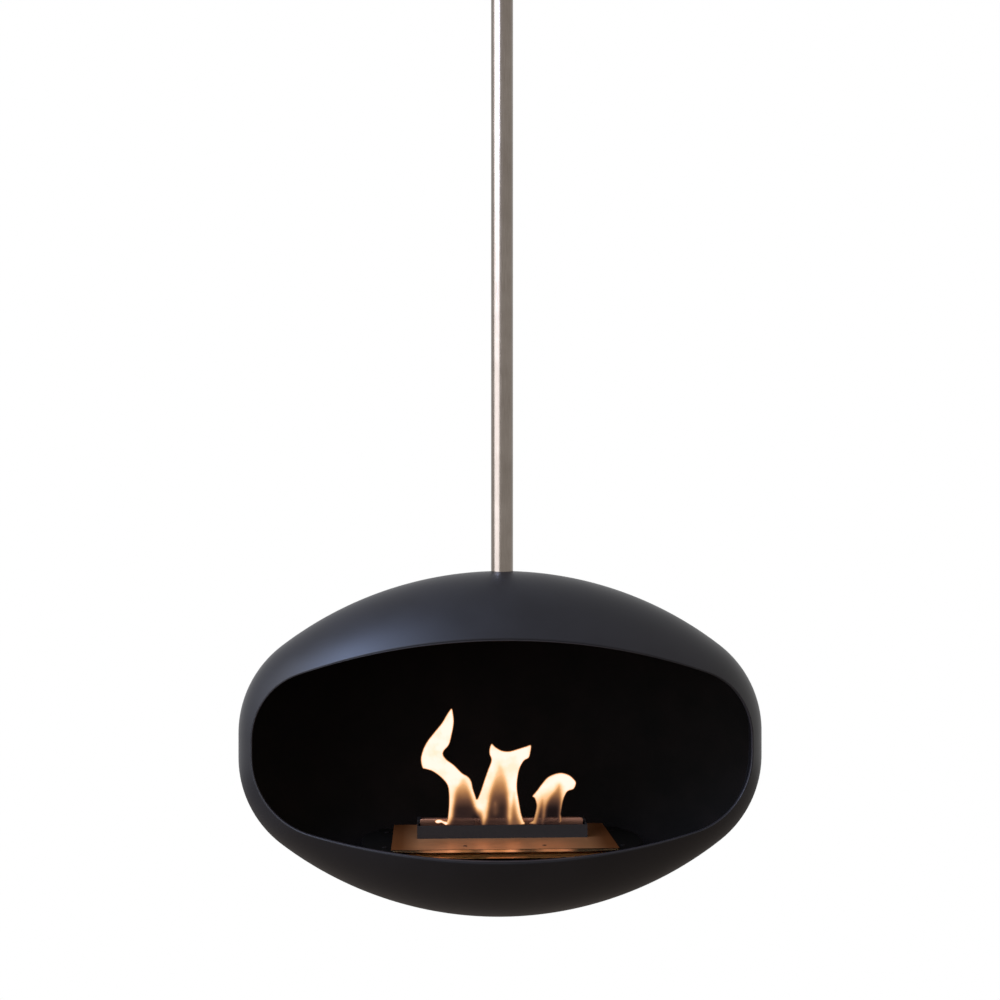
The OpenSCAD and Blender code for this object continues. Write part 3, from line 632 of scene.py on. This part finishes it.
hearthLine = []
for sideX, sideY, start in ((-1, 1, 90), (-1, -1, 180), (1, -1, 270), (1, 1, 0)):
    radius, steps = hearth["corner"], hearth["cornerSteps"]
    centre = (sideX * (hearth["halfWidth"] - radius), sideY * (hearth["back"] - radius))
    arc = [math.radians(start + 90 * k / steps) for k in range(steps + 1)]
    corner = [(centre[0] + radius * math.cos(t), centre[1] + radius * math.sin(t)) for t in arc]
    if sideY < 0:  # the lip takes over from the corner where the fold ends
        corner = [p for p in corner if abs(p[0]) > hearth["foldHalf"]]
        lip = [(sideX * hearth["foldHalf"], hearth["front"])] + lipOf(hearth, sideX)
        corner = corner + lip if sideX < 0 else lip[::-1] + corner
    hearthLine += corner
standFor(foldSheet("hearthPlate", hearth, hearthLine, slotFinish["hearth_black"]), "hearth_plate")
print("tray and hearth folded")


# Folded and turned parts get a fine rounded edge, in mm.

edgeWidths = {
    "burner_box": 0.6, "damper": 0.5, "damper_guides": 0.25, "canopy": 0.8, "ceiling_plate": 0.5,
    "bearing_housing": 0.6, "pole_flange": 0.6, "pole_collar": 0.5, "fuel_tank": 0.4}


def softenEdges(node, width):
    source = frame["nodes"][node].data
    mesh = bmesh.new()
    mesh.from_mesh(source)
    bmesh.ops.remove_doubles(mesh, verts=mesh.verts, dist=0.002 * mm)
    bmesh.ops.dissolve_limit(mesh, angle_limit=math.radians(1), verts=mesh.verts, edges=mesh.edges)
    name = "".join(word.capitalize() if i else word for i, word in enumerate(node.split("_"))) + "Rounded"
    piece = keepMesh(name, mesh, source.materials[0])
    for face in piece.data.polygons:
        face.use_smooth = True
    roundEdges(piece, width, segments=3, degrees=35).harden_normals = True
    standFor(plainMesh(piece, name), node)


for node, width in edgeWidths.items():
    softenEdges(node, width * mm)


# Screws, by Geometry Nodes.

screws = {
    "tray_screws": {
        "name": "trayScrewHeads", "sides": 36, "radius": 3.5 * mm, "height": 0.7 * mm, "dome": 0.78,
        "socket": 0.5, "deep": 0.9 * mm, "level": trayBox[1].z, "finish": slotFinish["dark_screw"]},
    "hearth_screws": {
        "name": "hearthScrewHeads", "sides": 36, "radius": 4.8 * mm, "height": 1.2 * mm, "dome": 0.8,
        "socket": 0.5, "deep": 1.4 * mm, "level": hearthBox[1].z, "finish": nodeFinish["hearth_screws"]}}


def screwTree():  # a domed head with a round socket at every point
    tree = bpy.data.node_groups.new("socketScrews", "GeometryNodeTree")
    addSockets(tree, ["Geometry"], "NodeSocketGeometry")
    addSockets(tree, ["Sides"], "NodeSocketInt")
    addSockets(tree, ["Radius", "Height", "Dome", "Socket", "Deep"])
    addSockets(tree, ["Finish"], "NodeSocketMaterial")
    addSockets(tree, ["Geometry"], "NodeSocketGeometry", "OUTPUT")
    given = addNode(tree, "NodeGroupInput").outputs
    disc = addNode(tree, "GeometryNodeMeshCircle", fill_type="NGON", named={
        "Vertices": given["Sides"], "Radius": given["Radius"]})
    wall = addNode(tree, "GeometryNodeExtrudeMesh", named={"Mesh": disc, "Offset Scale": given["Height"]})
    rise = addNode(tree, "ShaderNodeMath", given["Height"], 0.5, operation="MULTIPLY")
    dome = addNode(tree, "GeometryNodeExtrudeMesh", named={
        "Mesh": wall, "Selection": wall.outputs["Top"], "Offset Scale": rise})
    top = addNode(tree, "GeometryNodeScaleElements", named={
        "Geometry": dome, "Selection": dome.outputs["Top"], "Scale": given["Dome"]})
    brim = addNode(tree, "GeometryNodeExtrudeMesh", named={
        "Mesh": top, "Selection": dome.outputs["Top"], "Offset Scale": 0.0})
    opening = addNode(tree, "GeometryNodeScaleElements", named={
        "Geometry": brim, "Selection": brim.outputs["Top"], "Scale": given["Socket"]})
    down = addNode(tree, "ShaderNodeMath", given["Deep"], -1.0, operation="MULTIPLY")
    socket = addNode(tree, "GeometryNodeExtrudeMesh", named={
        "Mesh": opening, "Selection": brim.outputs["Top"], "Offset Scale": down})
    under = addNode(tree, "GeometryNodeFlipFaces", disc)
    join = addNode(tree, "GeometryNodeJoinGeometry", socket)
    tree.links.new(under.outputs[0], join.inputs[0])  # the second link into the same socket
    head = addNode(tree, "GeometryNodeMergeByDistance", join, named={"Distance": 0.001 * mm})
    placed = addNode(tree, "GeometryNodeInstanceOnPoints", given["Geometry"], named={"Instance": head})
    real = addNode(tree, "GeometryNodeRealizeInstances", placed)
    dressed = addNode(tree, "GeometryNodeSetMaterial", real, named={"Material": given["Finish"]})
    addNode(tree, "NodeGroupOutput", dressed)
    return tree


screwNodes = screwTree()
for node, screw in screws.items():
    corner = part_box(node)[1]
    x, y = corner.x - screw["radius"], corner.y - screw["radius"]
    points = bpy.data.meshes.new(screw["name"])
    points.from_pydata([(i * x, j * y, screw["level"]) for i in (-1, 1) for j in (-1, 1)], [], [])
    values = {key.capitalize(): value for key, value in screw.items()}
    standFor(growMesh(screw["name"], points, screwNodes, values), node)
print("edges rounded and screws set")


# Flames: thin closed tongues over the slot. Their attribute burning says how bright and how dense they are.

flame = {
    # the points that fill it: a grid of triangles that keeps off the outline
    "lineStep": 1.2 * mm, "pitch": 1.5 * mm, "rowShare": 0.866, "keepOff": 0.7,
    # where it stands, and half its thickness, which it reaches three times as deep inside its outline
    "middle": -2 * mm, "foot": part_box("burner_box")[1].z - 1.5 * mm, "thick": 5 * mm, "round": 3,
    # how deep inside it burns fully, how strongly at its outline, how its veils fade, how high its dim foot is
    "edge": 2.1 * mm, "border": 0.14, "veilCurve": 1.3, "veilEdge": 2.2, "footHeight": 45 * mm}

# Outlines seen from the front, in mm: across from the pod's middle, then up from the top of the burner's box.
# The points follow each tongue clockwise from its left foot. A veil is a thin place: how much of the flame is
# left at its foot and at its tip, where up its height it starts to thicken, how far its border is blurred, its
# outline. A share over 1 is a wisp.
tongues = {
    "flamePair": {
        "footShare": 0.92,
        "outline": [(-95, 0), (-94, 11), (-92, 30), (-92, 54), (-95, 69), (-106, 82), (-120, 92), (-132, 96),
                    (-137, 98), (-140, 112), (-137, 127), (-130, 142), (-117, 159), (-104, 175), (-95, 190),
                    (-87, 200), (-84, 190), (-83, 175), (-86, 157), (-91, 138), (-100, 127), (-101, 120),
                    (-95, 112), (-82, 102), (-69, 89), (-59, 83), (-53, 75), (-50, 62), (-46, 50), (-43, 44),
                    (-37, 58), (-31, 76), (-25, 93), (-19, 110), (-22, 121), (-22, 130), (-18, 139), (-11, 133),
                    (0, 127), (13, 126), (28, 130), (41, 134), (50, 136), (49, 123), (46, 114), (38, 109),
                    (31, 97), (27, 80), (26, 62), (29, 41), (33, 19), (38, 4), (41, 0), (20, -2), (-30, -2),
                    (-60, -2)],
        "veils": [
            (0.12, 0.8, 28, 4.0, [(-89, -6), (-86, 15), (-84, 32), (-80, 58), (-74, 71), (-67, 80), (-61, 72),
                                  (-56, 58), (-50, 40), (-45, 24), (-40, 12), (-36, 0), (-35, -6)]),
            (0.15, 0.9, 4, 4.0, [(-48, 32), (-40, 26), (-35, 20), (-34, 10), (-35, -6), (-46, -6), (-48, 12)]),
            (0.12, 0.9, 28, 4.5, [(-29, -6), (-27, 15), (-24, 32), (-20, 58), (-12, 84), (-4, 104), (4, 84),
                                   (9, 58), (10.5, 32), (10.5, 15), (10, -6)]),
            (0.3, 0.9, 8, 3.5, [(14.5, -6), (15, 15), (16, 30), (18, 46), (20.5, 56), (22.5, 45), (24, 30),
                                (27, 14), (33, -6)]),
            (2.2, 2.2, 0, 5.0, [(-14, 18), (-16, 30), (-12, 38), (-8, 30), (-9, 19)])]},
    "flameRight": {
        "footShare": 0.75,
        "outline": [(49, 0), (53, 7), (57, 19), (59, 32), (56, 44), (52, 48), (60, 58), (69, 70), (78, 80),
                    (90, 86), (103, 88), (116, 84), (125, 76), (128, 70), (124, 60), (114, 56), (109, 49),
                    (105, 37), (102, 19), (99, 0)],
        "veils": [
            (0.6, 0.8, 20, 8.0, [(52, -4), (60, 30), (66, 50), (84, 60), (98, 66), (104, 40), (101, -4)]),
            (0.25, 0.8, 12, 2.8, [(58, -4), (62, 15), (65, 30), (69, 44), (71, 32), (70, 15), (68, -4)]),
            (0.12, 0.7, 22, 3.5, [(71, -4), (73.5, 15), (76, 32), (82, 46), (92, 58), (98, 68), (101, 56),
                                  (101.5, 40), (99.5, 15), (97, -4)])]},
    "flameCurl": {
        "footShare": 1.0,
        "outline": [(-97, -1), (-104, 3), (-111, 2), (-116, 5), (-114, 9), (-107, 10), (-100, 7), (-95, 6),
                    (-91, 2)],
        "veils": []}}


def roundOff(points, step):  # a smooth closed line (Catmull-Rom) through given points
    line = []
    count = len(points)
    for i in range(count):
        a, b, c, d = (Vector(points[(i + k) % count]) for k in (-1, 0, 1, 2))
        pieces = max(2, int((c - b).length / step))
        for j in range(pieces):
            t = j / pieces
            line.append(0.5 * (2 * b + (c - a) * t + (2 * a - 5 * b + 4 * c - d) * t ** 2
                               + (3 * b - a - 3 * c + d) * t ** 3))
    return line


def nearTo(line):  # finds the nearest point of a line
    tree = kdtree.KDTree(len(line))
    for i, point in enumerate(line):
        tree.insert((point.x, point.y, 0), i)
    tree.balance()
    return tree


def fillOutline(line, tree):  # triangles inside the outline, and which of their corners lie on it
    left, right = min(p.x for p in line), max(p.x for p in line)
    y, top = min(p.y for p in line), max(p.y for p in line)
    points = list(line)
    row = 0
    while y < top:
        x = left + (row % 2) * flame["pitch"] / 2
        while x < right:
            spot = Vector((x, y))
            if isInside(spot, line) and tree.find((x, y, 0))[2] > flame["keepOff"] * flame["pitch"]:
                points.append(spot)
            x += flame["pitch"]
        y += flame["pitch"] * flame["rowShare"]
        row += 1
    edges = [(i, (i + 1) % len(line)) for i in range(len(line))]
    verts, edges, faces = delaunay_2d_cdt(points, edges, [], 1, 1e-6)[:3]
    uses = {}
    for face in faces:
        for a, b in zip(face, face[1:] + face[:1]):
            key = (min(a, b), max(a, b))
            uses[key] = uses.get(key, 0) + 1
    return verts, faces, {i for key, times in uses.items() if times == 1 for i in key}


def heatAt(spot, deep, tongue, veils):  # how strongly a point burns, by how deep it lies and by its veils
    heat = min(1, deep / flame["edge"])
    heat = flame["border"] + (1 - flame["border"]) * heat * heat * (3 - 2 * heat)
    for footLeft, tipLeft, start, span, blur, veilLine, veilTree in veils:
        rise = min(1, max(0, (spot.y - start) / span)) ** flame["veilCurve"]
        left = footLeft + (tipLeft - footLeft) * rise
        inner = veilTree.find((spot.x, spot.y, 0))[2] / blur
        inner = inner if isInside(spot, veilLine) else -inner
        heat *= 1 - (1 - left) / (1 + math.exp(-flame["veilEdge"] * inner))
    share = min(1, max(0, spot.y / flame["footHeight"]))
    return heat * (tongue["footShare"] + (1 - tongue["footShare"]) * share)


def buildFlame(name, tongue):  # two bulging sides that meet along the outline
    line = roundOff([Vector(p) * mm for p in tongue["outline"]], flame["lineStep"])
    tree = nearTo(line)
    veils = []
    for footLeft, tipLeft, start, blur, outline in tongue["veils"]:
        veilLine = roundOff([Vector(p) * mm for p in outline], flame["lineStep"])
        span = max(p[1] for p in outline) * mm - start * mm
        veils.append((footLeft, tipLeft, start * mm, span, blur * mm, veilLine, nearTo(veilLine)))
    verts, faces, onEdge = fillOutline(line, tree)
    mesh = bmesh.new()
    burning = mesh.verts.layers.float.new("burning")
    sides = []
    for sign in (-1, 1):
        made = []
        for i, spot in enumerate(verts):
            if sign == 1 and i in onEdge:
                made.append(sides[0][i])
                continue
            deep = 0 if i in onEdge else tree.find((spot.x, spot.y, 0))[2]
            bulge = flame["thick"] * math.sqrt(min(1, deep / (flame["round"] * flame["thick"])))
            vert = mesh.verts.new((spot.x, flame["middle"] + sign * bulge, flame["foot"] + spot.y))
            vert[burning] = heatAt(spot, deep, tongue, veils)
            made.append(vert)
        sides.append(made)
    for face in faces:
        if not all(i in onEdge for i in face):  # a flat ear at a sharp corner has no thickness
            mesh.faces.new([sides[0][i] for i in face])
            mesh.faces.new([sides[1][i] for i in reversed(face)])
    bmesh.ops.recalc_face_normals(mesh, faces=mesh.faces)
    for face in mesh.faces:
        face.smooth = True
    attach(keepMesh(name, mesh, flameFinish), "burner")


for name, tongue in tongues.items():
    buildFlame(name, tongue)
print("flames lit,", len(tongues))


# Floor, lamps and camera.

stage = {
    "colour": "#86725e", "floorZ": -2.6, "radius": 6.0, "sides": 128,
    # how white the camera sees the floor under the part, and how far out it starts and ends to grow whiter
    "nearShare": 0.75, "shadow": 1.3, "white": 2.3,
    "mirrored": 0.2,  # how white gloss sees it
    "airColour": "#dfe3ea", "airStrength": 0.4}  # the light from all round


def plasterFloor():  # pale: white to the camera far out, and its shadow shows under the part
    material, tree, place = newMaterial("palePlasterFloor")
    path = addNode(tree, "ShaderNodeLightPath").outputs
    plain = addNode(tree, "ShaderNodeBsdfDiffuse", linear(stage["colour"]))
    white = addNode(tree, "ShaderNodeEmission", (1, 1, 1, 1), 1.0)
    out = addNode(tree, "ShaderNodeVectorMath", place, operation="LENGTH").outputs["Value"]
    far = addNode(tree, "ShaderNodeMapRange", out, stage["shadow"], stage["white"], stage["nearShare"], 1.0)
    eye, gloss, glass = path["Is Camera Ray"], path["Is Glossy Ray"], path["Is Transmission Ray"]
    mirrored = addNode(tree, "ShaderNodeMath", gloss, stage["mirrored"], operation="MULTIPLY")
    seen = addNode(tree, "ShaderNodeMath", eye, glass, operation="MAXIMUM")
    seen = addNode(tree, "ShaderNodeMath", seen, mirrored, operation="MAXIMUM")
    seen = addNode(tree, "ShaderNodeMath", seen, far, operation="MULTIPLY")
    shown = addNode(tree, "ShaderNodeMixShader", seen, plain, white)
    addNode(tree, "ShaderNodeOutputMaterial", shown)
    return material


disc = bmesh.new()
bmesh.ops.create_circle(disc, cap_ends=True, segments=stage["sides"], radius=stage["radius"])
floor = keepMesh("floor", disc, plasterFloor())
floor.location.z = stage["floorZ"]

world = bpy.data.worlds.new("studio")
bpy.context.scene.world = world
world.use_nodes = True
sky = world.node_tree
sky.nodes.clear()
path = addNode(sky, "ShaderNodeLightPath").outputs
seen = addNode(sky, "ShaderNodeMath", path["Is Camera Ray"], path["Is Glossy Ray"], operation="MAXIMUM")
seen = addNode(sky, "ShaderNodeMath", seen, path["Is Transmission Ray"], operation="MAXIMUM")
dim = addNode(sky, "ShaderNodeBackground", linear(stage["airColour"]), stage["airStrength"])
bright = addNode(sky, "ShaderNodeBackground", (1, 1, 1, 1), 1.0)
addNode(sky, "ShaderNodeOutputWorld", addNode(sky, "ShaderNodeMixShader", seen, dim, bright))

# azimuth and elevation in degrees, distance, width and height in metres, watts, colour, seen in gloss
lamps = {
    "windowLeft": (-60, 21, 2.6, 2.7, 2.8, 124, "#eef3ff", True),
    "skylightLeft": (-54, 43, 2.6, 1.0, 0.8, 85, "#aec8ff", True),
    "softRight": (62, 24, 3.0, 2.2, 2.2, 40, "#ffe6cf", False)}
for name, (azimuth, elevation, distance, width, height, power, colour, inGloss) in lamps.items():
    lamp = bpy.data.lights.new(name, "AREA")
    lamp.shape = "RECTANGLE"
    lamp.size = width
    lamp.size_y = height
    lamp.energy = power
    lamp.color = linear(colour)[:3]
    level = math.cos(math.radians(elevation))
    direction = Vector((
        math.sin(math.radians(azimuth)) * level, -math.cos(math.radians(azimuth)) * level,
        math.sin(math.radians(elevation))))
    stand = newObject(name, lamp)
    stand.location = podCentre + direction * distance
    stand.rotation_euler = direction.to_track_quat("Z", "Y").to_euler()
    stand.visible_glossy = inGloss

shot = {"distance": 2.5, "azimuth": -3.0, "height": -1.09, "lens": 52.22, "sensor": 36,
        "shiftX": -0.00205, "shiftY": 0.0707}
lens = bpy.data.cameras.new("camera")
lens.lens = shot["lens"]
lens.sensor_width = shot["sensor"]
lens.shift_x = shot["shiftX"]
lens.shift_y = shot["shiftY"]
turn = math.radians(shot["azimuth"])
camera = newObject("camera", lens)
camera.location = (shot["distance"] * math.sin(turn), -shot["distance"] * math.cos(turn), shot["height"])
camera.rotation_euler = (math.pi / 2, 0, turn)
bpy.context.scene.camera = camera
bpy.context.scene.view_settings.view_transform = "Standard"
print("studio set")
